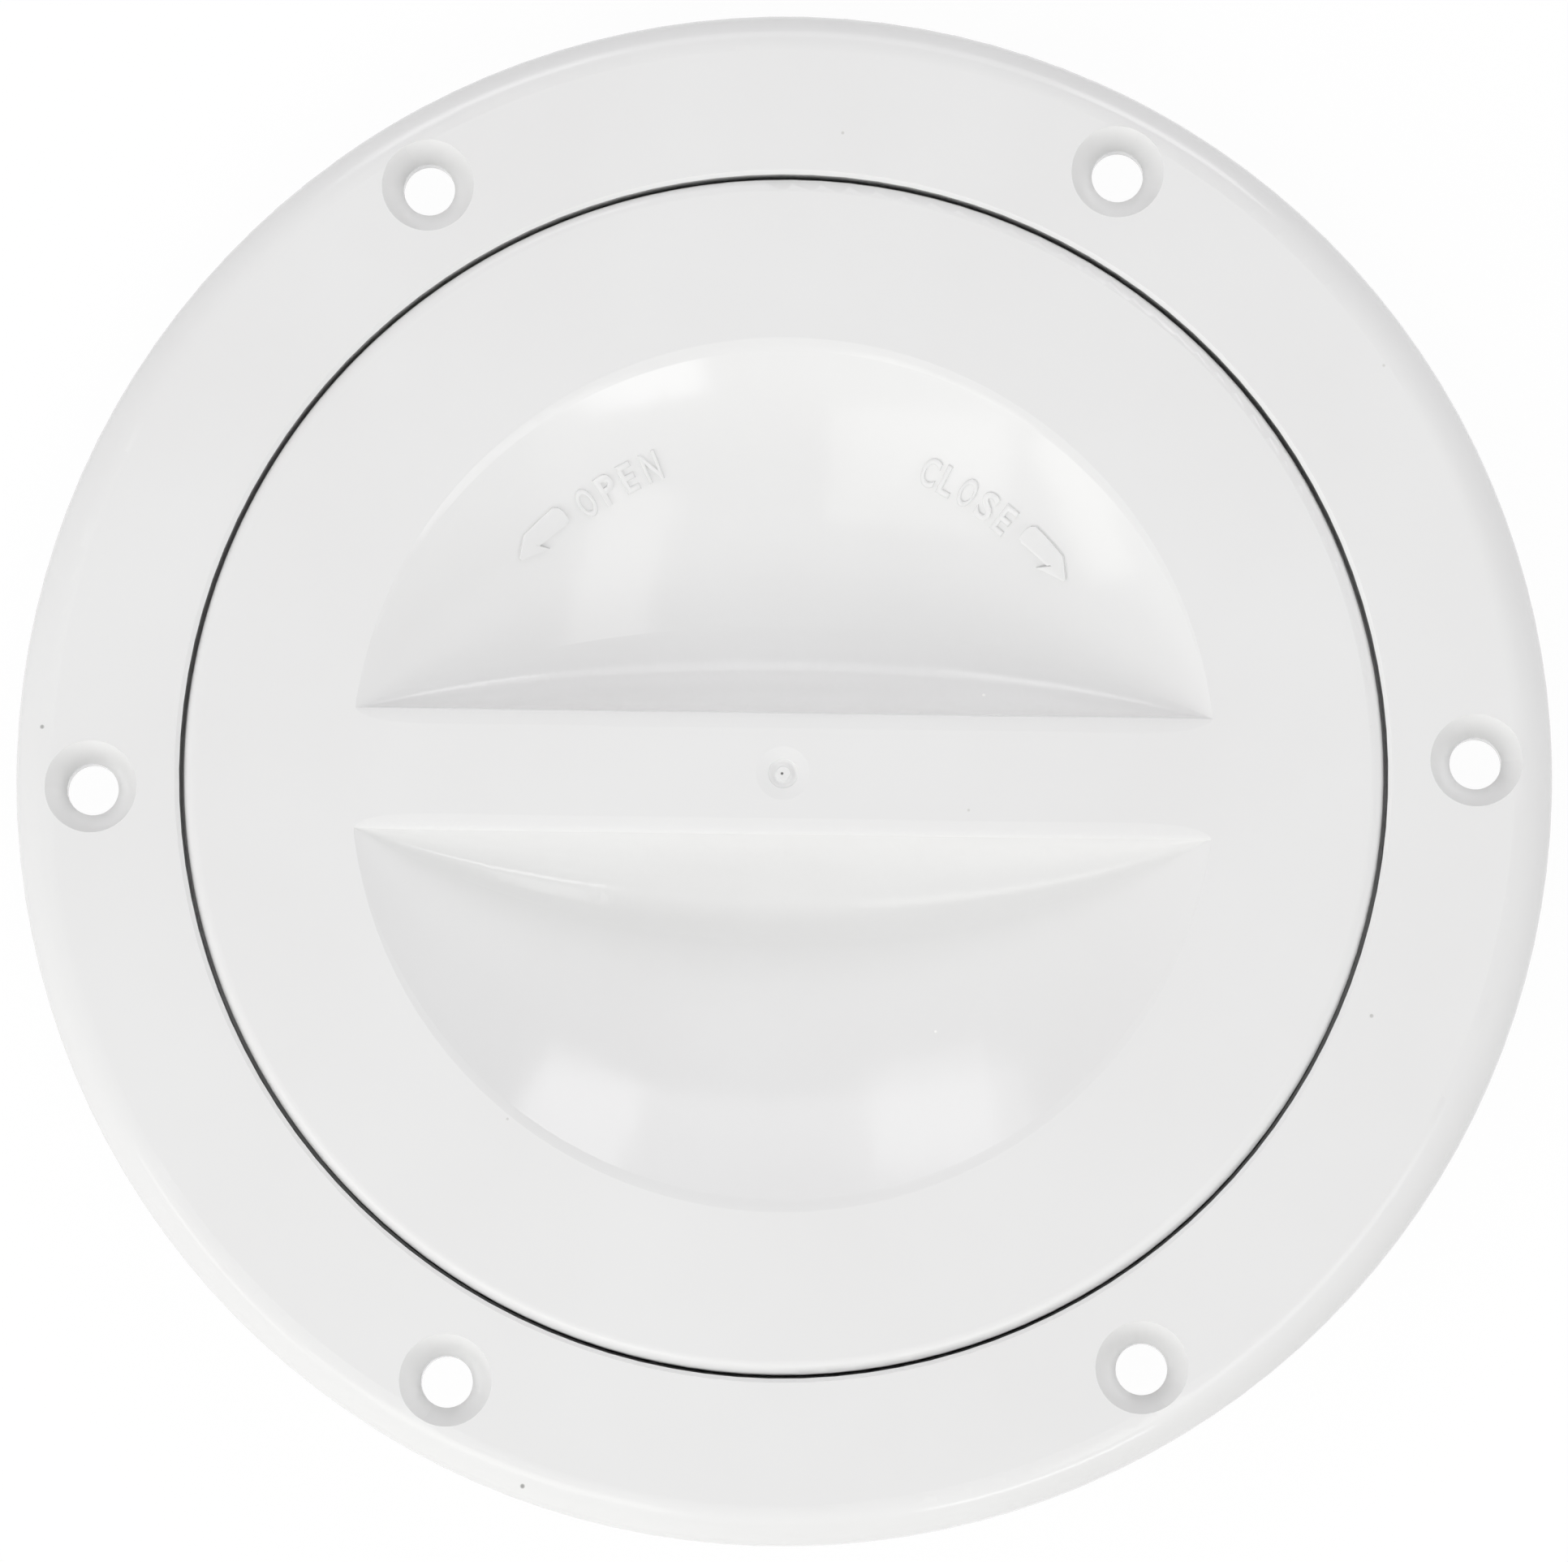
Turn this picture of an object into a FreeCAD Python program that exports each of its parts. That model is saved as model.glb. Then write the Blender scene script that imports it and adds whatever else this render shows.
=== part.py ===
import FreeCAD, Part
import math
import os
import Sketcher

# Screw-in deck inspection plate: a ring fixed to the deck, a lid screwed into it and the seal between them.
# Origin on the axis at the deck's surface, +Z up out of the deck, X along a pair of opposite screw holes.
# Lengths in mm, angles in degrees. The lid is drawn screwed home.

doc = FreeCAD.newDocument("deck_inspection_plate")
sheet = doc.addObject("Spreadsheet::Sheet", "Sizes")

sizes = [
    # ring seen from above
    ("flange_diameter", 143.0, "outside of the ring"),
    ("flange_height", 5.5, "top of the ring and lid above the deck"),
    ("flange_edge_round", 3.6, "broad rounding of the ring's outer edge"),
    ("mouth_chamfer", 0.4, "edge of the ring round the lid"),
    ("flange_width", 15.75, "from the lid's edge to the ring's outer edge"),
    ("screw_edge_distance", 7.15, "middle of the screw holes from the outer edge"),
    ("screw_hole_count", 6, "screw holes"),
    ("screw_hole_diameter", 4.8, "hole for a number 8 screw"),
    ("countersink_diameter", 8.6, "countersink at the top face"),
    ("countersink_angle", 58.0, "included angle of the deep countersink"),
    # ring seen from below
    ("spigot_wall", 2.25, "from the ring's mouth out to the shoulder that centres it in the deck's cut-out"),
    ("spigot_length", 3.2, "length of that shoulder"),
    ("collar_wall", 2.9, "wall of the collar behind the thread, at its top"),
    ("collar_length", 19.0, "collar below the deck"),
    ("collar_draft", 0.3, "taper of the collar's radius over its length"),
    ("collar_chamfer", 0.8, "lower rim of the collar"),
    ("seat_chamfer", 0.8, "chamfer from the seal's seat into the bore"),
    ("relief_depth", 2.6, "hollow under the flange"),
    ("relief_inner_land", 2.0, "flat left beside the shoulder"),
    ("relief_outer_land", 2.2, "flat left inside the outer edge"),
    ("boss_diameter", 10.4, "boss round each screw hole"),
    ("flange_rib_width", 1.6, "ribs between the bosses"),
    ("ribs_per_boss", 3, "ribs in each gap between two bosses"),
    # thread, the same for both pieces
    ("thread_lead", 5.0, "rise in one turn, right-handed, one start"),
    ("thread_turns", 2.0, "turns on each piece"),
    ("seat_step", 2.95, "from the lid's edge in to the collar's bore behind the thread"),
    ("thread_depth", 1.6, "height of each ridge"),
    ("thread_crest_width", 1.3, "width of a ridge at its crest"),
    ("thread_flank_angle", 15.0, "slope of a ridge's flanks"),
    ("thread_clearance", 0.4, "radial room between crest and wall"),
    ("thread_top_drop", 2.6, "middle of the collar's ridge below the seat, at its top end"),
    # lid seen from above
    ("lid_gap", 0.4, "dark line between lid and ring"),
    ("lid_closed_angle", -1.86, "bar against the line of holes, screwed home"),
    ("lid_rim_thickness", 2.6, "flat top of the lid"),
    ("lid_edge_round", 1.2, "top edge of the lid"),
    ("recess_diameter", 80.5, "circle that bounds both finger recesses"),
    ("recess_bowl_radius", 75.0, "radius of the bowl that both recesses share"),
    ("bar_width", 11.2, "grip bar between the recesses"),
    ("bar_draft", 12.0, "slope of the bar's walls"),
    ("bar_foot_width", 9.2, "wall and its blend into the bowl, at mid-length"),
    ("bar_edge_width", 1.4, "crowned edges of the bar, seen from above"),
    ("bar_edge_drop", 0.4, "drop of those edges to the walls"),
    ("recess_rim_round", 0.65, "rim of the recesses"),
    ("gate_diameter", 5.0, "shallow dish left by the moulding gate"),
    ("gate_depth", 0.25, "depth of that dish"),
    ("gate_ring_diameter", 2.0, "groove round the pip in the middle of the dish"),
    ("gate_ring_width", 0.8, "width of that round-bottomed groove"),
    ("gate_ring_depth", 0.25, "depth of the groove below the dish"),
    # lid seen from below
    ("shell_wall", 2.4, "wall of the lid under the bowl and of its skirt"),
    ("skirt_length", 14.6, "skirt below the rim's underside"),
    ("skirt_chamfer", 0.8, "lead-in at the foot of the skirt"),
    ("neck_length", 2.4, "plain neck that carries the seal"),
    ("slot_width", 6.4, "hollow under the bar, at the rim's underside"),
    ("slot_draft", 22.0, "slope of that hollow's walls"),
    ("lid_rib_count", 8, "ribs between skirt and bowl"),
    ("lid_rib_width", 1.8, "thickness of those ribs"),
    ("lid_rib_depth", 7.0, "ribs below the rim's underside"),
    ("lid_rib_root", 4.0, "length of those ribs inside the shell"),
    # seal
    ("seal_height", 2.9, "height of the seal as squeezed"),
    ("seal_width", 3.4, "width of the seal as squeezed"),
    ("seal_neck_clearance", 0.25, "seal from the lid's neck"),
    ("seal_wall_clearance", 0.35, "seal from the ring's wall"),
]
for row, (alias, value, note) in enumerate(sizes, start=1):
    sheet.set(f"A{row}", note)
    sheet.set(f"B{row}", str(value))
    sheet.setAlias(f"B{row}", alias)
doc.recompute()

# Expressions that more than one piece uses
top = "Sizes.flange_height"
rim_underside = f"({top} - Sizes.lid_rim_thickness)"
seat = f"({rim_underside} - Sizes.seal_height)"
flange_radius = "(Sizes.flange_diameter / 2)"
screw_radius = f"({flange_radius} - Sizes.screw_edge_distance)"
lid_radius = f"({flange_radius} - Sizes.flange_width)"
mouth_radius = f"({lid_radius} + Sizes.lid_gap)"
root_radius = f"({lid_radius} - Sizes.seat_step)"
bore_radius = f"({root_radius} - Sizes.thread_depth)"
skirt_radius = f"({bore_radius} - Sizes.thread_clearance)"
seal_outer = f"({mouth_radius} - Sizes.seal_wall_clearance)"
seal_middle = f"({seal_outer} - Sizes.seal_width / 2)"
neck_radius = f"({seal_outer} - Sizes.seal_width - Sizes.seal_neck_clearance)"
bowl_centre = f"({top} + sqrt(Sizes.recess_bowl_radius ^ 2 - (Sizes.recess_diameter / 2) ^ 2))"
dome_radius = "(Sizes.recess_bowl_radius + Sizes.shell_wall)"
overlap = "0.5"
thread_foot = f"({seat} - Sizes.thread_top_drop - Sizes.thread_turns * Sizes.thread_lead)"


def number(expression):
    """Value of an expression of the size table."""
    return float(sheet.evalExpression(expression))


def origin_part(body, role):
    """Plane or axis of the body's own origin."""
    return next(item for item in body.Origin.OriginFeatures if item.Role == role)


def new_sketch(body, name, plane, height="0"):
    """Empty sketch on one of the body's planes, raised by an expression."""
    sketch = body.newObject("Sketcher::SketchObject", name)
    sketch.AttachmentSupport = [(origin_part(body, plane), "")]
    sketch.MapMode = "FlatFace"
    sketch.setExpression("AttachmentOffset.Base.z", height)
    return sketch


def pin(sketch, kind, edge, end, expression):
    """Ties one coordinate of an edge's end or centre to an expression."""
    index = sketch.addConstraint(Sketcher.Constraint(kind, -1, 1, edge, end, number(expression)))
    sketch.setExpression(f"Constraints[{index}]", expression)


def pin_point(sketch, edge, end, across, up):
    """Ties both coordinates of an edge's end or centre."""
    pin(sketch, "DistanceX", edge, end, across)
    pin(sketch, "DistanceY", edge, end, up)


def outline(sketch, corners):
    """Closed outline of straight lines through corners given as pairs of expressions."""
    points = [FreeCAD.Vector(number(across), number(up), 0) for across, up in corners]
    first = sketch.GeometryCount
    for index, start in enumerate(points):
        sketch.addGeometry(Part.LineSegment(start, points[(index + 1) % len(points)]))
    for index, (across, up) in enumerate(corners):
        following = first + (index + 1) % len(corners)
        sketch.addConstraint(Sketcher.Constraint("Coincident", first + index, 2, following, 1))
        pin_point(sketch, first + index, 1, across, up)


def circle(sketch, across, up, diameter):
    """Circle with its centre and diameter given as expressions."""
    centre = FreeCAD.Vector(number(across), number(up), 0)
    edge = sketch.addGeometry(Part.Circle(centre, FreeCAD.Vector(0, 0, 1), number(diameter) / 2))
    pin_point(sketch, edge, 3, across, up)
    index = sketch.addConstraint(Sketcher.Constraint("Diameter", edge, number(diameter)))
    sketch.setExpression(f"Constraints[{index}]", diameter)


def revolve(body, name, sketch):
    """Full turn of a half-section about the vertical axis."""
    feature = body.newObject("PartDesign::Revolution", name)
    feature.Profile = sketch
    feature.ReferenceAxis = (sketch, ["V_Axis"])
    feature.Angle = 360
    doc.recompute()
    return feature


def pad(body, name, sketch, length, reverse=False):
    """Pad of a sketch by an expression."""
    feature = body.newObject("PartDesign::Pad", name)
    feature.Profile = sketch
    feature.setExpression("Length", length)
    feature.Reversed = reverse
    doc.recompute()
    return feature


def polar(body, name, feature, count):
    """Copies of a feature spread evenly round the vertical axis."""
    pattern = body.newObject("PartDesign::PolarPattern", name)
    pattern.Originals = [feature]
    pattern.Axis = (origin_part(body, "Z_Axis"), [""])
    pattern.Angle = 360
    pattern.setExpression("Occurrences", count)
    body.Tip = pattern
    doc.recompute()
    return pattern


def edge_names(shape, radius, height):
    """Names of the round edges about the axis at one radius and height."""
    names = []
    for index, edge in enumerate(shape.Edges, start=1):
        curve = edge.Curve
        if not isinstance(curve, Part.Circle):
            continue
        on_axis = math.hypot(curve.Center.x, curve.Center.y) < 0.001
        if on_axis and abs(curve.Radius - radius) < 0.001 and abs(curve.Center.z - height) < 0.001:
            names.append(f"Edge{index}")
    return names


def round_edge(body, name, radius, height, rounding):
    """Rounds the circular edge of the body's tip found at one radius and height."""
    base = body.Tip
    feature = body.newObject("PartDesign::Fillet", name)
    feature.Base = (base, edge_names(base.Shape, number(radius), number(height)))
    feature.setExpression("Radius", rounding)
    body.Tip = feature
    doc.recompute()
    return feature


def thread_ridge(body, name, wall_radius, outward, foot, height):
    """Helical ridge of trapezoid section, its root sunk a little into the wall that carries it."""
    way = 1 if outward else -1
    slope = "tan(Sizes.thread_flank_angle)"
    crest = f"({wall_radius} + {way} * Sizes.thread_depth)"
    buried = f"({wall_radius} - {way} * {overlap})"
    half_crest = "(Sizes.thread_crest_width / 2)"
    half_root = f"({half_crest} + (Sizes.thread_depth + {overlap}) * {slope})"
    sketch = new_sketch(body, f"{name}_section", "XZ_Plane")
    outline(sketch, [
        (buried, f"{foot} - {half_root}"),
        (crest, f"{foot} - {half_crest}"),
        (crest, f"{foot} + {half_crest}"),
        (buried, f"{foot} + {half_root}"),
    ])
    feature = body.newObject("PartDesign::AdditiveHelix", name)
    feature.Profile = sketch
    feature.ReferenceAxis = (origin_part(body, "Z_Axis"), [""])
    feature.Mode = "pitch-height-angle"
    feature.setExpression("Pitch", "Sizes.thread_lead")
    feature.setExpression("Height", height)
    body.Tip = feature
    doc.recompute()
    return feature


def build_ring():
    """Ring: flange, shoulder and collar turned in one piece, hollowed and ribbed below, threaded inside."""
    body = doc.addObject("PartDesign::Body", "deck_ring")
    doc.recompute()
    spigot_radius = f"({mouth_radius} + Sizes.spigot_wall)"
    collar_radius = f"({root_radius} + Sizes.collar_wall)"
    collar_foot = "(0 - Sizes.collar_length)"
    relief_inner = f"({spigot_radius} + Sizes.relief_inner_land)"
    relief_outer = f"({flange_radius} - Sizes.relief_outer_land)"
    section = new_sketch(body, "ring_section", "XZ_Plane")
    outline(section, [
        (flange_radius, "0"),
        (flange_radius, top),
        (f"{mouth_radius} + Sizes.mouth_chamfer", top),
        (mouth_radius, f"{top} - Sizes.mouth_chamfer"),
        (mouth_radius, seat),
        (f"{root_radius} + Sizes.seat_chamfer", seat),
        (root_radius, f"{seat} - Sizes.seat_chamfer"),
        (root_radius, collar_foot),
        (f"{collar_radius} - Sizes.collar_draft - Sizes.collar_chamfer", collar_foot),
        (f"{collar_radius} - Sizes.collar_draft", f"{collar_foot} + Sizes.collar_chamfer"),
        (collar_radius, f"0 - Sizes.spigot_length - ({spigot_radius} - {collar_radius})"),
        (spigot_radius, "0 - Sizes.spigot_length"),
        (spigot_radius, "0"),
        (relief_inner, "0"),
        (relief_inner, "Sizes.relief_depth"),
        (relief_outer, "Sizes.relief_depth"),
        (relief_outer, "0"),
    ])
    revolve(body, "ring_turned", section)

    boss = new_sketch(body, "boss_circle", "XY_Plane")
    circle(boss, screw_radius, "0", "Sizes.boss_diameter")
    boss_pad = pad(body, "boss", boss, f"Sizes.relief_depth + {overlap}")
    polar(body, "bosses", boss_pad, "Sizes.screw_hole_count")

    rib = new_sketch(body, "flange_rib_plan", "XY_Plane")
    outline(rib, [
        (f"{relief_inner} - {overlap}", "0 - Sizes.flange_rib_width / 2"),
        (f"{relief_outer} + {overlap}", "0 - Sizes.flange_rib_width / 2"),
        (f"{relief_outer} + {overlap}", "Sizes.flange_rib_width / 2"),
        (f"{relief_inner} - {overlap}", "Sizes.flange_rib_width / 2"),
    ])
    rib_pad = pad(body, "flange_rib", rib, f"Sizes.relief_depth + {overlap}")
    polar(body, "flange_ribs", rib_pad, "Sizes.screw_hole_count * (Sizes.ribs_per_boss + 1)")

    round_edge(body, "outer_edge", flange_radius, top, "Sizes.flange_edge_round")

    spot = new_sketch(body, "screw_spot", "XY_Plane", top)
    circle(spot, screw_radius, "0", "Sizes.screw_hole_diameter")
    hole = body.newObject("PartDesign::Hole", "screw_hole")
    hole.Profile = spot
    hole.DepthType = "ThroughAll"
    hole.HoleCutType = "Countersink"
    hole.setExpression("Diameter", "Sizes.screw_hole_diameter")
    hole.setExpression("HoleCutDiameter", "Sizes.countersink_diameter")
    hole.setExpression("HoleCutCountersinkAngle", "Sizes.countersink_angle")
    body.Tip = hole
    doc.recompute()
    polar(body, "screw_holes", hole, "Sizes.screw_hole_count")

    thread_ridge(body, "ring_thread", root_radius, False, thread_foot, "Sizes.thread_turns * Sizes.thread_lead")
    return body


def build_lid_blank():
    """Lid without its finger recesses: rim, neck, skirt and dome in one turned piece."""
    body = doc.addObject("PartDesign::Body", "lid_blank")
    doc.recompute()
    skirt_inner = f"({skirt_radius} - Sizes.shell_wall)"
    skirt_foot = f"({rim_underside} - Sizes.skirt_length)"
    neck_foot = f"({rim_underside} - Sizes.neck_length)"
    dome_edge = f"sqrt({dome_radius} ^ 2 - ({bowl_centre} - {rim_underside}) ^ 2)"
    dome_foot = f"({bowl_centre} - {dome_radius})"
    section = new_sketch(body, "lid_section", "XZ_Plane")
    outline(section, [
        ("0", top),
        ("0", rim_underside),
        (skirt_inner, rim_underside),
        (skirt_inner, skirt_foot),
        (f"{skirt_radius} - Sizes.skirt_chamfer", skirt_foot),
        (skirt_radius, f"{skirt_foot} + Sizes.skirt_chamfer"),
        (skirt_radius, f"{neck_foot} - ({neck_radius} - {skirt_radius})"),
        (neck_radius, neck_foot),
        (neck_radius, rim_underside),
        (lid_radius, rim_underside),
        (lid_radius, top),
    ])
    revolve(body, "lid_turned", section)

    dome = new_sketch(body, "dome_section", "XZ_Plane")
    inside = f"({rim_underside} + Sizes.lid_rim_thickness / 2)"
    points = [
        FreeCAD.Vector(0, number(dome_foot), 0),
        FreeCAD.Vector(number(dome_edge), number(rim_underside), 0),
        FreeCAD.Vector(number(dome_edge), number(inside), 0),
        FreeCAD.Vector(0, number(inside), 0),
    ]
    centre = FreeCAD.Vector(0, number(bowl_centre), 0)
    foot_angle = math.atan2(number(rim_underside) - centre.y, number(dome_edge))
    arc = Part.ArcOfCircle(Part.Circle(centre, FreeCAD.Vector(0, 0, 1), number(dome_radius)),
                           -math.pi / 2, foot_angle)
    dome.addGeometry(arc)
    dome.addGeometry(Part.LineSegment(points[1], points[2]))
    dome.addGeometry(Part.LineSegment(points[2], points[3]))
    dome.addGeometry(Part.LineSegment(points[3], points[0]))
    dome.addConstraint(Sketcher.Constraint("Coincident", 0, 2, 1, 1))
    dome.addConstraint(Sketcher.Constraint("Coincident", 1, 2, 2, 1))
    dome.addConstraint(Sketcher.Constraint("Coincident", 2, 2, 3, 1))
    dome.addConstraint(Sketcher.Constraint("Coincident", 3, 2, 0, 1))
    dome.addConstraint(Sketcher.Constraint("Vertical", 1))
    dome.addConstraint(Sketcher.Constraint("Horizontal", 2))
    pin_point(dome, 0, 3, "0", bowl_centre)
    pin_point(dome, 0, 1, "0", dome_foot)
    pin(dome, "DistanceY", 0, 2, rim_underside)
    pin_point(dome, 3, 1, "0", inside)
    revolve(body, "dome", dome)

    slot = new_sketch(body, "slot_section", "YZ_Plane")
    slot_foot = f"({dome_foot} - {overlap})"
    slot_half_foot = f"(Sizes.slot_width / 2 + ({rim_underside} - {slot_foot}) * tan(Sizes.slot_draft))"
    outline(slot, [
        ("0 - Sizes.slot_width / 2", rim_underside),
        (f"0 - {slot_half_foot}", slot_foot),
        (slot_half_foot, slot_foot),
        ("Sizes.slot_width / 2", rim_underside),
    ])
    pocket = body.newObject("PartDesign::Pocket", "slot_under_bar")
    pocket.Profile = slot
    pocket.Midplane = True
    pocket.setExpression("Length", f"2 * ({skirt_inner} - {overlap})")
    doc.recompute()

    rib = new_sketch(body, "lid_rib_plan", "XY_Plane", f"{rim_underside} + {overlap}")
    outline(rib, [
        (f"{dome_edge} - Sizes.lid_rib_root", "0 - Sizes.lid_rib_width / 2"),
        (f"{skirt_inner} + {overlap}", "0 - Sizes.lid_rib_width / 2"),
        (f"{skirt_inner} + {overlap}", "Sizes.lid_rib_width / 2"),
        (f"{dome_edge} - Sizes.lid_rib_root", "Sizes.lid_rib_width / 2"),
    ])
    rib.setExpression("AttachmentOffset.Rotation.Angle", "180 / Sizes.lid_rib_count")
    rib_pad = pad(body, "lid_rib", rib, f"Sizes.lid_rib_depth + {overlap}", reverse=True)
    polar(body, "lid_ribs", rib_pad, "Sizes.lid_rib_count")

    round_edge(body, "lid_edge", lid_radius, top, "Sizes.lid_edge_round")

    half_lead = "Sizes.thread_lead / 2"
    turned = "Sizes.thread_lead * Sizes.lid_closed_angle / 360"
    foot = f"({thread_foot} + {half_lead} + {turned})"
    height = "(Sizes.thread_turns * Sizes.thread_lead - Sizes.thread_lead / 2)"
    thread_ridge(body, "lid_thread", skirt_radius, True, foot, height)
    return body


def bezier(*points):
    """Edge along one smooth curve with its end points and the handles between them."""
    curve = Part.BezierCurve()
    curve.setPoles(list(points))
    return curve.toShape()


def recess_section(offset, side):
    """Section of a finger recess across the bar, at a distance along it from the middle.

    It falls from the bar's rounded edge down a steep wall, sweeps round into the bowl and climbs
    to the rim. All of it narrows together towards the recess's tips.
    """
    rim_height = number(top)
    bar_edge = number("Sizes.bar_width / 2")
    rim_radius = number("Sizes.recess_diameter / 2")
    bowl_radius = number("Sizes.recess_bowl_radius")
    bowl_height = number(bowl_centre)
    draft = math.radians(number("Sizes.bar_draft"))
    crown_slope = 0.1
    rim_slope = 0.25

    def bowl_depth(along):
        return rim_height - bowl_height + math.sqrt(bowl_radius ** 2 - bar_edge ** 2 - along ** 2)

    rim = math.sqrt(rim_radius ** 2 - offset ** 2)
    taper = 1 - ((rim_radius - rim) / (rim_radius - bar_edge)) ** 6
    foot_width = number("Sizes.bar_foot_width") * bowl_depth(offset) / bowl_depth(0)
    edge_width = number("Sizes.bar_edge_width") * taper
    edge_drop = number("Sizes.bar_edge_drop") * taper
    rounding = number("Sizes.recess_rim_round") * taper
    ring = math.sqrt(bowl_radius ** 2 - offset ** 2)

    def place(across, height):
        return FreeCAD.Vector(offset, side * across, height)

    def on_bowl(angle):
        return place(ring * math.sin(angle), bowl_height - ring * math.cos(angle))

    foot_angle = math.asin((bar_edge + foot_width) / ring)
    lip_angle = math.asin((rim - rounding) / ring)
    bowl_foot = on_bowl(foot_angle)
    bowl_lip = on_bowl(lip_angle)
    along_foot = FreeCAD.Vector(0, side * math.cos(foot_angle), math.sin(foot_angle))
    along_lip = FreeCAD.Vector(0, side * math.cos(lip_angle), math.sin(lip_angle))
    bowl_handle = ring * 4 / 3 * math.tan((lip_angle - foot_angle) / 4)

    # crowned edge of the bar, from nearly level to the slope of the wall
    edge_start = place(bar_edge - edge_width, rim_height)
    edge_end = place(bar_edge + edge_drop * math.tan(draft), rim_height - edge_drop)
    down_wall = FreeCAD.Vector(0, side * math.sin(draft), -math.cos(draft))
    nearly_level = FreeCAD.Vector(0, side * math.cos(crown_slope), -math.sin(crown_slope))
    fall = edge_end.z - bowl_foot.z

    # rounded rim, from the slope of the bowl to nearly level
    rim_end = place(rim + rounding * 0.8, rim_height)
    down_rim = FreeCAD.Vector(0, -side * math.cos(rim_slope), -math.sin(rim_slope))

    above = FreeCAD.Vector(0, 0, 1)
    edges = [
        bezier(edge_start, edge_start + nearly_level * edge_width * 0.8, edge_end - down_wall * edge_drop * 0.6,
               edge_end),
        bezier(edge_end, edge_end + down_wall * fall * 0.55, bowl_foot - along_foot * foot_width * 0.6, bowl_foot),
        bezier(bowl_foot, bowl_foot + along_foot * bowl_handle, bowl_lip - along_lip * bowl_handle, bowl_lip),
        bezier(bowl_lip, bowl_lip + along_lip * rounding * 0.75, rim_end + down_rim * rounding * 0.6, rim_end),
        Part.LineSegment(rim_end, rim_end + above).toShape(),
        Part.LineSegment(rim_end + above, edge_start + above).toShape(),
        Part.LineSegment(edge_start + above, edge_start).toShape(),
    ]
    return Part.Wire(edges)


def build_recess(name, side):
    """Space of one finger recess: a free-form body that only shrinks towards two tips, so it is lofted."""
    rim_radius = number("Sizes.recess_diameter / 2")
    bar_edge = number("Sizes.bar_width / 2")
    tip_share = 0.02
    stations = 4
    tip_angle = math.acos((bar_edge + tip_share * (rim_radius - bar_edge)) / rim_radius)
    offsets = [rim_radius * math.sin(tip_angle * step / stations) for step in range(-stations, stations + 1)]
    recess = doc.addObject("Part::Feature", name)
    recess.Shape = Part.makeLoft([recess_section(offset, side) for offset in offsets], True, False, False, 5)
    return recess


def build_lid():
    """Lid: the blank less both finger recesses and the gate's mark, turned to its closed place."""
    blank = build_lid_blank()
    pieces = [build_recess("upper_recess", 1), build_recess("lower_recess", -1)]

    dish_radius = "((Sizes.gate_diameter ^ 2 / 4 + Sizes.gate_depth ^ 2) / (2 * Sizes.gate_depth))"
    dish_floor = f"({top} - Sizes.gate_depth)"
    dish = doc.addObject("Part::Sphere", "gate_dish")
    dish.setExpression("Radius", dish_radius)
    dish.setExpression("Placement.Base.z", f"{dish_floor} + {dish_radius}")
    groove = doc.addObject("Part::Torus", "gate_groove")
    groove.setExpression("Radius1", "Sizes.gate_ring_diameter / 2")
    groove.setExpression("Radius2", "Sizes.gate_ring_width / 2")
    groove.setExpression("Placement.Base.z", f"{dish_floor} - Sizes.gate_ring_depth + Sizes.gate_ring_width / 2")
    mark = doc.addObject("Part::Fuse", "gate_mark")
    mark.Base = dish
    mark.Tool = groove
    pieces.append(mark)

    removed = doc.addObject("Part::Compound", "removed_from_lid")
    removed.Links = pieces
    lid = doc.addObject("Part::Cut", "screw_lid")
    lid.Base = blank
    lid.Tool = removed
    lid.setExpression("Placement.Rotation.Angle", "Sizes.lid_closed_angle")
    doc.recompute()
    return lid


def build_seal():
    """Rubber ring, squeezed flat above and below between the lid's rim and the ring's seat."""
    body = doc.addObject("PartDesign::Body", "o_ring")
    doc.recompute()
    half_flat = "((Sizes.seal_width - Sizes.seal_height) / 2)"
    half_height = "(Sizes.seal_height / 2)"
    middle_height = f"({seat} + {half_height})"
    inner = f"({seal_middle} - {half_flat})"
    outer = f"({seal_middle} + {half_flat})"
    section = new_sketch(body, "seal_section", "XZ_Plane")
    normal = FreeCAD.Vector(0, 0, 1)
    level = number(middle_height)
    radius = number(half_height)
    left = FreeCAD.Vector(number(inner), level, 0)
    right = FreeCAD.Vector(number(outer), level, 0)
    rise = FreeCAD.Vector(0, radius, 0)
    section.addGeometry(Part.LineSegment(left - rise, right - rise))
    section.addGeometry(Part.ArcOfCircle(Part.Circle(right, normal, radius), -math.pi / 2, math.pi / 2))
    section.addGeometry(Part.LineSegment(right + rise, left + rise))
    section.addGeometry(Part.ArcOfCircle(Part.Circle(left, normal, radius), math.pi / 2, 3 * math.pi / 2))
    for first, second in ((0, 1), (1, 2), (2, 3), (3, 0)):
        section.addConstraint(Sketcher.Constraint("Coincident", first, 2, second, 1))
    pin_point(section, 0, 1, inner, seat)
    pin_point(section, 0, 2, outer, seat)
    pin_point(section, 2, 1, outer, rim_underside)
    pin_point(section, 2, 2, inner, rim_underside)
    pin(section, "DistanceX", 1, 3, outer)
    pin(section, "DistanceX", 3, 3, inner)
    revolve(body, "seal_turned", section)
    return body


def check_and_write(pieces):
    """Stops on any failed object, then writes each piece under its label."""
    doc.recompute()
    for item in doc.Objects:
        if "Invalid" in item.State or "Error" in item.State:
            raise RuntimeError(f"{item.Label} failed: {item.State}")
    os.makedirs("parts", exist_ok=True)
    for piece in pieces:
        shape = piece.Shape
        if shape.isNull() or not shape.isValid() or len(shape.Solids) != 1:
            raise RuntimeError(f"{piece.Label} is not one valid solid")
        shape.exportStep(os.path.join("parts", f"{piece.Label}.step"))
        print(piece.Label, round(shape.Volume, 1), "mm3")


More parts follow.
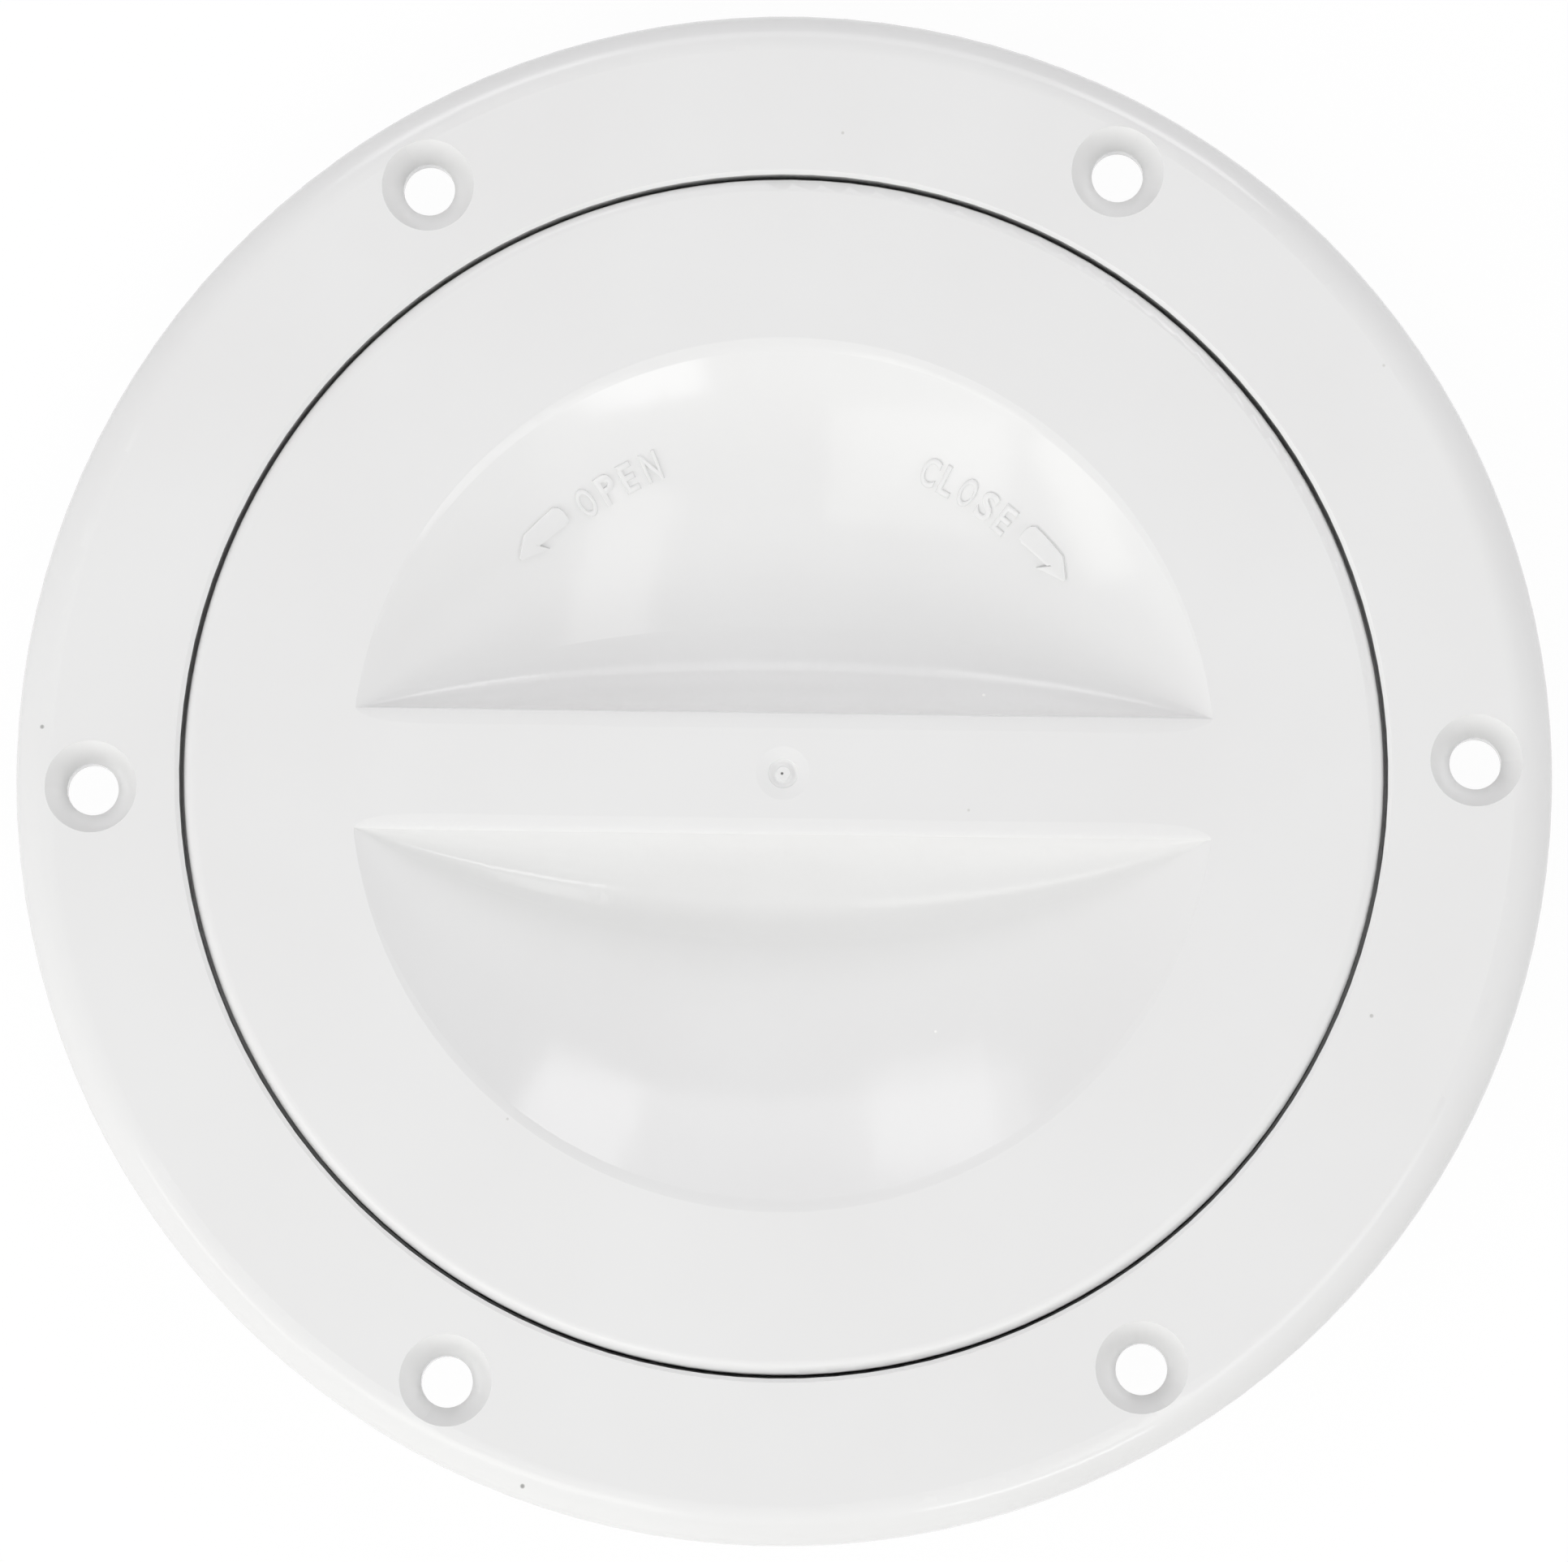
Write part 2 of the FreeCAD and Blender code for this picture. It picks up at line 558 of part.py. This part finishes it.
check_and_write([build_ring(), build_lid(), build_seal()])
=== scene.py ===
import bpy
import math
from mathutils import Matrix, Quaternion, Vector


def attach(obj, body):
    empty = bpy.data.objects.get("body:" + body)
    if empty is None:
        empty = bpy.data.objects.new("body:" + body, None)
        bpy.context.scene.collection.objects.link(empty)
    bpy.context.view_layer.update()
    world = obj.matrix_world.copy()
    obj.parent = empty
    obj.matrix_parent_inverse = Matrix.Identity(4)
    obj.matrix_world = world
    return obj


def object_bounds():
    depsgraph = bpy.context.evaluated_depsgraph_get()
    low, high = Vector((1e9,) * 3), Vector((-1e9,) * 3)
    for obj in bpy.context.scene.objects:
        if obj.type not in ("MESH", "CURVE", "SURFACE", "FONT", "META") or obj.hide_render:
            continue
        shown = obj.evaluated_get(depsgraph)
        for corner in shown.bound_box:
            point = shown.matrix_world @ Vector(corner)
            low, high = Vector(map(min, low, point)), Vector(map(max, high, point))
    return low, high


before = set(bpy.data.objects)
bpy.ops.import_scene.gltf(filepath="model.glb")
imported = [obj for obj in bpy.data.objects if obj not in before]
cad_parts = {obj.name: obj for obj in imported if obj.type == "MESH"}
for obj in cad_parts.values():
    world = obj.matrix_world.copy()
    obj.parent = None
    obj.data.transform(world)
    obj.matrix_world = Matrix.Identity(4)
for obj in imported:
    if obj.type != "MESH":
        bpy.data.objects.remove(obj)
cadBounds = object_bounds()
scene = bpy.context.scene
metre = 1000  # millimetres
print("frame loaded:", ", ".join(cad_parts))


# camera, nearly straight above the plate

cameraShot = {
    "place": (0.01476, -0.10684, 1.11307),  # metres from the plate's centre
    "lean": (5.458, 0.855, -0.997),  # degrees about X, about Y and the roll
    "lens": 275.30,  # millimetres
    "sensor": 36,  # millimetres
    "farthest": 20,  # metres that it still shows
}

bpy.ops.object.camera_add(location=cameraShot["place"])
camera = bpy.context.object
camera.name = "plateCamera"
leanX, leanY, roll = (math.radians(angle) for angle in cameraShot["lean"])
turn = Matrix.Rotation(roll, 4, "Z") @ Matrix.Rotation(leanY, 4, "Y")
turn = turn @ Matrix.Rotation(leanX, 4, "X")
camera.matrix_world = Matrix.Translation(cameraShot["place"]) @ turn
camera.data.lens = cameraShot["lens"]
camera.data.sensor_width = cameraShot["sensor"]
camera.data.clip_end = cameraShot["farthest"]
scene.camera = camera
scene.view_settings.view_transform = "Standard"
print("camera placed")


# lights: a pale room, soft lamps round the plate and the bright cards that its recesses mirror

room = {
    "grey": 0.348,  # what lights the plate
    "blueShare": 1.005,
    "backdrop": 1.0,  # what the camera and reflections see
    "lampDistance": 1.3,  # metres
}

softLamps = {
    # azimuth from the camera's side towards +X, height angle, width, height, brightness, colour
    "lowFront": (0, 8, 0.9, 0.25, 2.25, (1.0, 0.995, 0.97)),
    "lowFrontLeft": (-45, 8, 0.9, 0.25, 2.1, (1.0, 0.995, 0.97)),
    "lowBackLeft": (-135, 8, 0.9, 0.25, 1.35, (1.0, 0.985, 1.0)),
    "frontRight": (45, 25, 0.9, 0.4, 1.87, (1.0, 0.995, 0.975)),
    "frontLeft": (-45, 25, 0.9, 0.4, 2.66, (1.0, 0.995, 0.975)),
    "right": (90, 25, 0.9, 0.4, 1.6, (1.0, 0.99, 1.0)),
    "left": (-90, 25, 0.9, 0.4, 1.65, (1.0, 0.99, 1.0)),
    "backRight": (135, 25, 0.9, 0.4, 1.85, (1.0, 0.98, 1.0)),
    "backLeft": (-135, 25, 0.9, 0.4, 0.75, (1.0, 0.98, 1.0)),
    "highFrontLeft": (-45, 45, 0.8, 0.5, 1.45, (1.0, 0.995, 0.98)),
    "highBack": (180, 45, 0.8, 0.5, 1.87, (1.0, 0.985, 1.0)),
    "overhead": (0, 68, 0.6, 0.6, 2.88, (1.0, 1.0, 1.0)),
}

mirroredCards = {
    # azimuth, height angle, roll, width, height, brightness over the white room, colour
    "window": (20.7, 35.5, -13, 0.385, 0.15, 2.8, (1.0, 1.0, 1.0)),
    "curtain": (44.2, 58.6, 35.6, 0.61, 0.26, 1.4, (1.0, 0.995, 0.97)),
    "warmWall": (-29.0, 47.3, 23.3, 0.52, 0.38, 1.0, (1.0, 0.995, 0.93)),
    "warmSide": (-54.9, 35.7, -18, 0.45, 0.16, 1.5, (1.0, 0.995, 0.93)),
    "frontWall": (-0.6, 44.0, 0, 1.6, 0.5, 0.4, (1.0, 1.0, 1.0)),
    "rearRightPane": (152.1, 31.3, 5, 0.3, 0.31, 1.6, (1.0, 0.985, 1.0)),
    "rearLeftPane": (-159.1, 33.4, -12, 0.33, 0.37, 1.3, (1.0, 1.0, 1.0)),
    "rearWall": (178.9, 30.0, 0, 1.5, 0.45, 1.15, (1.0, 1.0, 1.0)),
}


# mixes towards plain white for what the camera, reflections and clear materials see
def whiteWhereSeen(nodes, links, litShader, whiteShader, share):
    path = nodes.new("ShaderNodeLightPath")
    seen = nodes.new("ShaderNodeMath")
    seen.operation = "MAXIMUM"
    links.new(path.outputs["Is Camera Ray"], seen.inputs[0])
    links.new(path.outputs["Is Glossy Ray"], seen.inputs[1])
    through = nodes.new("ShaderNodeMath")
    through.operation = "MAXIMUM"
    links.new(seen.outputs[0], through.inputs[0])
    links.new(path.outputs["Is Transmission Ray"], through.inputs[1])
    amount = nodes.new("ShaderNodeMath")
    amount.operation = "MULTIPLY"
    amount.inputs[1].default_value = share
    links.new(through.outputs[0], amount.inputs[0])
    mixed = nodes.new("ShaderNodeMixShader")
    links.new(amount.outputs[0], mixed.inputs[0])
    links.new(litShader, mixed.inputs[1])
    links.new(whiteShader, mixed.inputs[2])
    return mixed.outputs[0]


# a grey room that lights the plate, white to look at
def buildRoom():
    world = bpy.data.worlds.new("paleRoom")
    scene.world = world
    world.use_nodes = True
    nodes, links = world.node_tree.nodes, world.node_tree.links
    nodes.clear()
    lit = nodes.new("ShaderNodeBackground")
    grey = room["grey"]
    lit.inputs["Color"].default_value = (grey, grey, grey * room["blueShare"], 1)
    white = nodes.new("ShaderNodeBackground")
    white.inputs["Color"].default_value = (1, 1, 1, 1)
    white.inputs["Strength"].default_value = room["backdrop"]
    output = nodes.new("ShaderNodeOutputWorld")
    surface = whiteWhereSeen(nodes, links, lit.outputs[0], white.outputs[0], 1.0)
    links.new(surface, output.inputs["Surface"])


# a rectangular lamp that faces the plate's centre, with sizes in metres
def addLamp(name, azimuth, elevation, roll, width, height, brightness, colour):
    bearing = math.radians(azimuth)
    rise = math.radians(elevation)
    across, up = math.cos(rise), math.sin(rise)
    away = Vector((math.sin(bearing) * across, -math.cos(bearing) * across, up))
    bpy.ops.object.light_add(type="AREA", location=away * room["lampDistance"])
    lamp = bpy.context.object
    lamp.name = name
    facing = away.to_track_quat("Z", "Y") @ Quaternion((0, 0, 1), math.radians(roll))
    lamp.rotation_euler = facing.to_euler()
    lamp.data.shape = "RECTANGLE"
    lamp.data.size = width
    lamp.data.size_y = height
    lamp.data.energy = brightness * math.pi * width * height
    lamp.data.color = colour
    lamp.visible_camera = False
    return lamp


buildRoom()
for name, (azimuth, elevation, *values) in softLamps.items():
    lamp = addLamp(name, azimuth, elevation, 0, *values)
    lamp.visible_glossy = False  # lights the plate and isn't mirrored
for name, values in mirroredCards.items():
    card = addLamp(name, *values)
    card.visible_diffuse = False  # is mirrored and lights nothing
print("lights placed")


# floor that the plate stands on

floorLook = {
    "radius": 3.0,  # metres
    "corners": 96,
    "gap": 0.00005,  # metres below the plate
    "shade": 0.62,
    "whiteShare": 0.9,  # of plain white in what the camera sees
    "white": 1.05,
}


# pale paper, clear when it is looked at from below
def buildFloor():
    bpy.ops.object.select_all(action="DESELECT")
    height = cadBounds[0].z - floorLook["gap"]
    bpy.ops.mesh.primitive_circle_add(vertices=floorLook["corners"], radius=floorLook["radius"],
                                      fill_type="NGON", location=(0, 0, height))
    floor = bpy.context.object
    floor.name = "studioFloor"
    bpy.ops.object.transform_apply(location=True, rotation=True, scale=True)
    paper = bpy.data.materials.new("floorPaper")
    paper.use_nodes = True
    nodes, links = paper.node_tree.nodes, paper.node_tree.links
    nodes.clear()
    matt = nodes.new("ShaderNodeBsdfDiffuse")
    matt.inputs["Color"].default_value = (floorLook["shade"],) * 3 + (1,)
    glow = nodes.new("ShaderNodeEmission")
    glow.inputs["Strength"].default_value = floorLook["white"]
    output = nodes.new("ShaderNodeOutputMaterial")
    surface = whiteWhereSeen(nodes, links, matt.outputs[0], glow.outputs[0], floorLook["whiteShare"])
    below = nodes.new("ShaderNodeNewGeometry")
    clear = nodes.new("ShaderNodeBsdfTransparent")
    oneSided = nodes.new("ShaderNodeMixShader")
    links.new(below.outputs["Backfacing"], oneSided.inputs[0])
    links.new(surface, oneSided.inputs[1])
    links.new(clear.outputs[0], oneSided.inputs[2])
    links.new(oneSided.outputs[0], output.inputs["Surface"])
    floor.data.materials.append(paper)


buildFloor()
print("floor laid")


# materials

# an empty node group with named inputs and outputs
def newGroup(name, inputs, outputs):
    group = bpy.data.node_groups.new(name, "ShaderNodeTree")
    for label, kind, value in inputs:
        socket = group.interface.new_socket(label, in_out="INPUT", socket_type=kind)
        if value is not None:
            socket.default_value = value
    for label, kind in outputs:
        group.interface.new_socket(label, in_out="OUTPUT", socket_type=kind)
    start = group.nodes.new("NodeGroupInput")
    end = group.nodes.new("NodeGroupOutput")
    return group, start, end


# one Math node fed with numbers or sockets
def addMath(group, operation, *values, clamp=False):
    node = group.nodes.new("ShaderNodeMath")
    node.operation = operation
    node.use_clamp = clamp
    for index, value in enumerate(values):
        if isinstance(value, (int, float)):
            node.inputs[index].default_value = value
        else:
            group.links.new(value, node.inputs[index])
    return node.outputs[0]


# one Noise node, its size given as a number or a socket
def addNoise(group, vector, scale, detail, roughness=0.5):
    node = group.nodes.new("ShaderNodeTexNoise")
    node.inputs["Detail"].default_value = detail
    node.inputs["Roughness"].default_value = roughness
    group.links.new(vector, node.inputs["Vector"])
    if isinstance(scale, (int, float)):
        node.inputs["Scale"].default_value = scale
    else:
        group.links.new(scale, node.inputs["Scale"])
    return node.outputs["Fac"]


skinPattern = {
    "cloudDetail": 3,
    "cloudContrast": 2.4,
    "cloudStart": -0.7,
    "smudgeSize": 22.0,
    "smudgeDetail": 5,
    "smudgeRoughness": 0.6,
    "peelDetail": 2,
    "peelShare": 0.35,
    "rippleSize": 90.0,
    "rippleDetail": 1,
}


# colour, roughness and height of a moulded surface: faint clouds, smudges and orange peel
def buildMouldedSkin():
    inputs = [
        ("Vector", "NodeSocketVector", None),
        ("Colour", "NodeSocketColor", (0.8, 0.8, 0.8, 1)),
        ("Cloud Colour", "NodeSocketColor", (0.78, 0.78, 0.78, 1)),
        ("Cloud Size", "NodeSocketFloat", 40.0),
        ("Peel Size", "NodeSocketFloat", 600.0),
        ("Roughness", "NodeSocketFloat", 0.2),
        ("Smudge", "NodeSocketFloat", 0.05),
    ]
    outputs = [("Colour", "NodeSocketColor"), ("Roughness", "NodeSocketFloat"), ("Height", "NodeSocketFloat")]
    group, start, end = newGroup("mouldedSkin", inputs, outputs)
    vector = start.outputs["Vector"]
    pattern = skinPattern
    cloud = addNoise(group, vector, start.outputs["Cloud Size"], pattern["cloudDetail"])
    cloudShare = addMath(group, "MULTIPLY_ADD", cloud, pattern["cloudContrast"], pattern["cloudStart"],
                         clamp=True)
    mix = group.nodes.new("ShaderNodeMix")
    mix.data_type = "RGBA"
    group.links.new(cloudShare, mix.inputs["Factor"])
    group.links.new(start.outputs["Colour"], mix.inputs["A"])
    group.links.new(start.outputs["Cloud Colour"], mix.inputs["B"])
    group.links.new(mix.outputs["Result"], end.inputs["Colour"])
    smudge = addNoise(group, vector, pattern["smudgeSize"], pattern["smudgeDetail"],
                      pattern["smudgeRoughness"])
    wipe = addMath(group, "MULTIPLY", addMath(group, "SUBTRACT", smudge, 0.5), start.outputs["Smudge"])
    roughness = addMath(group, "ADD", start.outputs["Roughness"], wipe, clamp=True)
    group.links.new(roughness, end.inputs["Roughness"])
    peel = addNoise(group, vector, start.outputs["Peel Size"], pattern["peelDetail"])
    ripple = addNoise(group, vector, pattern["rippleSize"], pattern["rippleDetail"])
    height = addMath(group, "ADD", addMath(group, "MULTIPLY", peel, pattern["peelShare"]), ripple)
    group.links.new(height, end.inputs["Height"])
    return group


roundSpotShape = {"slope": -1.6, "start": 1.9, "blueShare": 0.98}


# mask of one small round spot, for a speck or for painted shade, the same all the way down the plate's axis
def buildRoundSpot():
    inputs = [
        ("Vector", "NodeSocketVector", None),
        ("Centre", "NodeSocketVector", (0, 0, 0)),
        ("Radius", "NodeSocketFloat", 0.0002),
    ]
    group, start, end = newGroup("roundSpot", inputs, [("Mask", "NodeSocketFloat")])
    away = group.nodes.new("ShaderNodeVectorMath")
    away.operation = "SUBTRACT"
    group.links.new(start.outputs["Vector"], away.inputs[0])
    group.links.new(start.outputs["Centre"], away.inputs[1])
    flat = group.nodes.new("ShaderNodeVectorMath")
    flat.operation = "MULTIPLY"
    flat.inputs[1].default_value = (1, 1, 0)
    group.links.new(away.outputs[0], flat.inputs[0])
    size = group.nodes.new("ShaderNodeVectorMath")
    size.operation = "LENGTH"
    group.links.new(flat.outputs[0], size.inputs[0])
    share = addMath(group, "DIVIDE", size.outputs["Value"], start.outputs["Radius"])
    mask = addMath(group, "MULTIPLY_ADD", share, roundSpotShape["slope"], roundSpotShape["start"], clamp=True)
    group.links.new(mask, end.inputs["Mask"])
    return group


mouldedSkin = buildMouldedSkin()
roundSpot = buildRoundSpot()

plasticLook = {
    "colour": (0.835, 0.838, 0.835, 1),
    "cloud": (0.815, 0.815, 0.812, 1),
    "cloudSize": 45.0,
    "peelSize": 700.0,
    "roughness": 0.11,
    "smudge": 0.06,
    "bump": 0.04,
    "bumpDepth": 0.00012,
    "ior": 1.49,
}
rubberLook = {
    "colour": (0.045, 0.045, 0.046, 1),
    "cloud": (0.055, 0.055, 0.055, 1),
    "cloudSize": 120.0,
    "peelSize": 1500.0,
    "roughness": 0.55,
    "smudge": 0.15,
    "bump": 0.15,
    "bumpDepth": 0.0001,
    "ior": 1.5,
}
ringMotes = [  # across, up, radius in millimetres and tone
    (6.61, 59.87, 0.16, 0.66), (-68.79, 5.65, 0.20, 0.42), (-25.24, -65.60, 0.22, 0.34),
    (56.55, 37.04, 0.15, 0.68), (54.07, -23.58, 0.19, 0.56),
]
lidSpecksAndPinHoleShade = [
    (17.15, -3.77, 0.14, 0.68), (-26.07, -31.66, 0.14, 0.68), (18.78, 7.6, 0.15, 1.0),
    # the dark last spot at the lid's centre is painted shade standing in for the gate's pin hole
    (13.69, -23.8, 0.13, 1.0), (-0.1, 0.0, 0.14, 0.1),
]


# a moulded finish, with its specks and any spot of painted shade
def mouldedMaterial(name, look, specksAndPaintedShade=()):
    material = bpy.data.materials.new(name)
    material.use_nodes = True
    nodes, links = material.node_tree.nodes, material.node_tree.links
    shader = nodes["Principled BSDF"]
    shader.inputs["IOR"].default_value = look["ior"]
    place = nodes.new("ShaderNodeTexCoord")
    skin = nodes.new("ShaderNodeGroup")
    skin.node_tree = mouldedSkin
    links.new(place.outputs["Object"], skin.inputs["Vector"])
    for label, key in (("Colour", "colour"), ("Cloud Colour", "cloud"), ("Cloud Size", "cloudSize"),
                       ("Peel Size", "peelSize"), ("Roughness", "roughness"), ("Smudge", "smudge")):
        skin.inputs[label].default_value = look[key]
    colour = skin.outputs["Colour"]
    for across, up, radius, tone in specksAndPaintedShade:
        spot = nodes.new("ShaderNodeGroup")
        spot.node_tree = roundSpot
        spot.inputs["Centre"].default_value = (across / metre, up / metre, 0)
        spot.inputs["Radius"].default_value = radius / metre
        links.new(place.outputs["Object"], spot.inputs["Vector"])
        mix = nodes.new("ShaderNodeMix")
        mix.data_type = "RGBA"
        mix.inputs["B"].default_value = (tone, tone, tone * roundSpotShape["blueShare"], 1)
        links.new(spot.outputs["Mask"], mix.inputs["Factor"])
        links.new(colour, mix.inputs["A"])
        colour = mix.outputs["Result"]
    links.new(colour, shader.inputs["Base Color"])
    links.new(skin.outputs["Roughness"], shader.inputs["Roughness"])
    bump = nodes.new("ShaderNodeBump")
    bump.inputs["Strength"].default_value = look["bump"]
    bump.inputs["Distance"].default_value = look["bumpDepth"]
    links.new(skin.outputs["Height"], bump.inputs["Height"])
    links.new(bump.outputs["Normal"], shader.inputs["Normal"])
    return material


ringPlastic = mouldedMaterial("ringPlastic", plasticLook, ringMotes)
lidPlastic = mouldedMaterial("lidPlastic", plasticLook, lidSpecksAndPinHoleShade)
letterPlastic = mouldedMaterial("letterPlastic", plasticLook)
sealRubber = mouldedMaterial("sealRubber", rubberLook)
nodeFinishes = {"deck_ring": ringPlastic, "screw_lid": lidPlastic, "o_ring": sealRubber}
for nodeName, material in nodeFinishes.items():
    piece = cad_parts[nodeName]
    for slotIndex in range(len(piece.material_slots)):
        piece.material_slots[slotIndex].material = material
print("materials made")


# raised words and arrows on the bowl of the upper finger recess

bowl = {"radius": 75.0, "centreHeight": 68.785}  # the bowl that the CAD's recesses share, in millimetres
rim = {"steps": 3, "smoothAngle": 50, "upright": 0.9, "slack": 0.01}  # of each raised outline's face

words = {
    "radius": 31.75,  # middle of the letters from the axis
    "height": 2.75,
    "width": 1.6,
    "slimLetters": "LE",
    "slimWidth": 0.88,  # share of the width
    "fontSize": 4.0,
    "curveSteps": 6,
    "merge": 0.001,
    "boldness": 0.12,
    "raise": 0.23,
    "sink": 0.3,
    "edge": 0.15,
    "open": (("O", 124.5), ("P", 120.3), ("E", 116.3), ("N", 112.0)),
    "close": (("C", 63.5), ("L", 60.0), ("O", 56.3), ("S", 52.3), ("E", 48.5)),
}
arrows = {
    "radius": 32.1,
    "raise": 0.27,
    "sink": 0.3,
    "edge": 0.19,
    # along the arrow from its middle, inner side, outer side
    "tail": ((-2.8, -0.25, 0.4), (-2.65, -0.65, 0.85), (-2.25, -0.78, 1.2)),
    "neck": (1.2, -0.45, 1.2),
    "barb": (0.45, -1.35),
    "tip": 3.2,
    "notch": 0.12,  # from the neck to the back of the head
    "taper": 0.92,
    "rows": 6,
    "shaftSteps": 6,
    "headSteps": 6,
    "open": 133.5,
    "close": 39.8,
}


# wraps a flat piece, in millimetres, onto the bowl: X runs clockwise round the axis and Y outwards
def ontoBowl(piece, angle, radius, rise):
    for vertex in piece.data.vertices:
        reach = radius + vertex.co.y
        bearing = math.radians(angle) - vertex.co.x / radius
        centre = Vector((0, 0, bowl["centreHeight"]))
        depth = math.sqrt(bowl["radius"] ** 2 - reach ** 2)
        foot = Vector((reach * math.cos(bearing), reach * math.sin(bearing), bowl["centreHeight"] - depth))
        vertex.co = (foot + (centre - foot).normalized() * (vertex.co.z + rise)) / metre


# raises a flat outline and rounds the rim of its face
def raiseOutline(piece, thickness, rounding):
    bpy.ops.object.select_all(action="DESELECT")
    piece.select_set(True)
    bpy.context.view_layer.objects.active = piece
    bpy.ops.object.mode_set(mode="EDIT")
    bpy.ops.mesh.select_all(action="SELECT")
    bpy.ops.mesh.extrude_region_move(TRANSFORM_OT_translate={"value": (0, 0, thickness)})
    bpy.ops.mesh.select_all(action="SELECT")
    bpy.ops.mesh.normals_make_consistent(inside=False)
    bpy.ops.mesh.select_mode(type="FACE")
    bpy.ops.mesh.select_all(action="DESELECT")
    bpy.ops.object.mode_set(mode="OBJECT")
    for face in piece.data.polygons:
        face.select = face.normal.z > rim["upright"] and face.center.z > thickness - rim["slack"]
    bpy.ops.object.mode_set(mode="EDIT")
    bpy.ops.mesh.region_to_loop()
    bpy.ops.mesh.bevel(offset=rounding, segments=rim["steps"], affect="EDGES", clamp_overlap=True)
    bpy.ops.object.mode_set(mode="OBJECT")
    bpy.ops.object.shade_smooth_by_angle(angle=math.radians(rim["smoothAngle"]))


# one letter of Blender's own font, stretched to the moulded size and raised on the bowl
def raisedLetter(letter, angle):
    bpy.ops.object.select_all(action="DESELECT")
    bpy.ops.object.text_add(location=(0, 0, 0))
    piece = bpy.context.object
    piece.data.body = letter
    piece.data.align_x = "CENTER"
    piece.data.align_y = "CENTER"
    piece.data.resolution_u = words["curveSteps"]
    piece.data.size = words["fontSize"]
    piece.data.offset = words["boldness"]
    bpy.ops.object.convert(target="MESH")
    piece = bpy.context.object
    bpy.ops.object.mode_set(mode="EDIT")
    bpy.ops.mesh.select_all(action="SELECT")
    bpy.ops.mesh.remove_doubles(threshold=words["merge"])
    bpy.ops.mesh.dissolve_limited(angle_limit=words["merge"])
    bpy.ops.object.mode_set(mode="OBJECT")
    across = [vertex.co.x for vertex in piece.data.vertices]
    up = [vertex.co.y for vertex in piece.data.vertices]
    middle = Vector(((min(across) + max(across)) / 2, (min(up) + max(up)) / 2, 0))
    width = words["width"] * (words["slimWidth"] if letter in words["slimLetters"] else 1.0)
    wide = width / (max(across) - min(across))
    tall = words["height"] / (max(up) - min(up))
    for vertex in piece.data.vertices:
        vertex.co = Vector(((vertex.co.x - middle.x) * wide, (vertex.co.y - middle.y) * tall, 0))
    raiseOutline(piece, words["raise"] + words["sink"], words["edge"])
    ontoBowl(piece, angle, words["radius"], -words["sink"])
    return piece


# joins raised outlines into one piece that turns with the lid
def joinPieces(pieces, name, material):
    bpy.ops.object.select_all(action="DESELECT")
    for piece in pieces:
        piece.select_set(True)
    bpy.context.view_layer.objects.active = pieces[0]
    bpy.ops.object.join()
    whole = bpy.context.object
    whole.name = name
    whole.data.name = name
    whole.data.materials.clear()
    whole.data.materials.append(material)
    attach(whole, "lid")
    return whole


# a strip with a rounded tail, drawn out to a swept-back barb and a tip
def raisedArrow(name, angle, facing):
    neck, barb, tip = arrows["neck"], arrows["barb"], arrows["tip"]
    rows = arrows["rows"]
    columns = []
    for along, inner, outer in arrows["tail"]:
        columns.append([(along, inner + (outer - inner) * row / rows) for row in range(rows + 1)])
    start = arrows["tail"][-1]
    for step in range(1, arrows["shaftSteps"] + 1):
        share = step / arrows["shaftSteps"]
        along, inner, outer = (begin + (end - begin) * share for begin, end in zip(start, neck))
        columns.append([(along, inner + (outer - inner) * row / rows) for row in range(rows + 1)])
    headBack = [barb]
    for row in range(1, rows + 1):
        headBack.append((neck[0] + arrows["notch"], neck[1] + (neck[2] - neck[1]) * row / rows))
    for step in range(arrows["headSteps"] + 1):
        share = step / arrows["headSteps"]
        narrowing = 1 - share * arrows["taper"]
        columns.append([(along + (tip - along) * share, side * narrowing) for along, side in headBack])
    bpy.ops.object.select_all(action="DESELECT")
    bpy.ops.mesh.primitive_grid_add(x_subdivisions=len(columns) - 1, y_subdivisions=rows, size=1)
    piece = bpy.context.object
    for vertex in piece.data.vertices:
        column = round((vertex.co.x + 0.5) * (len(columns) - 1))
        along, side = columns[column][round((vertex.co.y + 0.5) * rows)]
        vertex.co = Vector((facing * along, side, 0))
    raiseOutline(piece, arrows["raise"] + arrows["sink"], arrows["edge"])
    ontoBowl(piece, angle, arrows["radius"], -arrows["sink"])
    return joinPieces([piece], name, letterPlastic)


for name, word in (("openWord", "open"), ("closeWord", "close")):
    letters = [raisedLetter(letter, angle) for letter, angle in words[word]]
    joinPieces(letters, name, letterPlastic)
raisedArrow("openArrow", arrows["open"], -1)
raisedArrow("closeArrow", arrows["close"], 1)
print("words and arrows raised")
